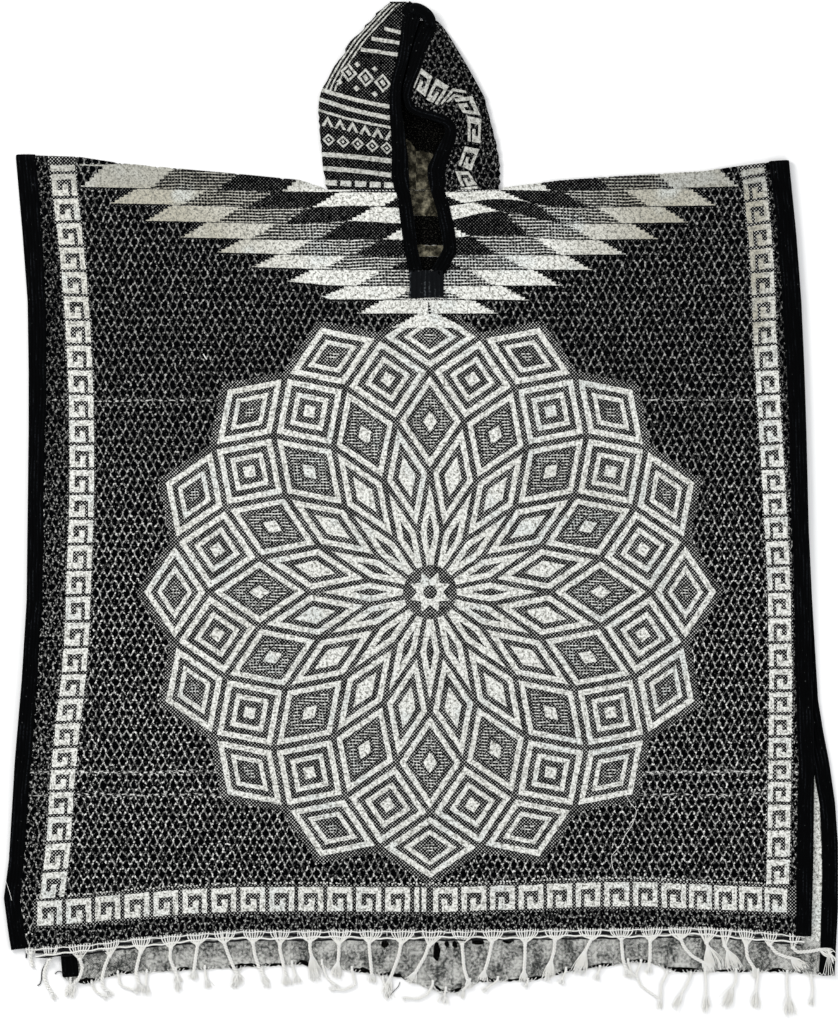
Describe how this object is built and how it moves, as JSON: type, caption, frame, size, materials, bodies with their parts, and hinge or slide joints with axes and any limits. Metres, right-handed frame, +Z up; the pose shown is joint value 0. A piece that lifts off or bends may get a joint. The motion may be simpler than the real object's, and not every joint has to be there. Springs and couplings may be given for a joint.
{
  "type": "hooded poncho",
  "caption": "Handwoven black and off-white hooded poncho with open bound sides, a neck slit and knotted fringes, laid flat with its hood spread above the shoulders.",
  "frame": {"origin": "on the surface that the garment lies on, under the middle of its bounding box", "axes": "+Y towards the hood, +Z up off the surface, out of the front of the garment"},
  "size_m": [1.1402, 1.3994, 0.0304],
  "materials": {
    "body_cloth": "handwoven black and off-white cotton, matte",
    "back_cloth": "the same cloth's grey mottled reverse, matte",
    "tape": "black ribbed binding tape, slight sheen",
    "yarn": "cream twisted cotton yarn, fuzzy"
  },
  "bodies": {
    "root": {"back_panel": "back_cloth", "front_panel": "body_cloth", "hood_left": "body_cloth", "hood_right": "body_cloth", "front_tape_left": "tape", "front_tape_right": "tape", "back_tape_left": "tape", "back_tape_right": "tape", "face_tape_left": "tape", "face_tape_right": "tape", "neck_tab": "tape", "front_fringe": "yarn", "back_fringe": "yarn"}
  },
  "joints": []
}
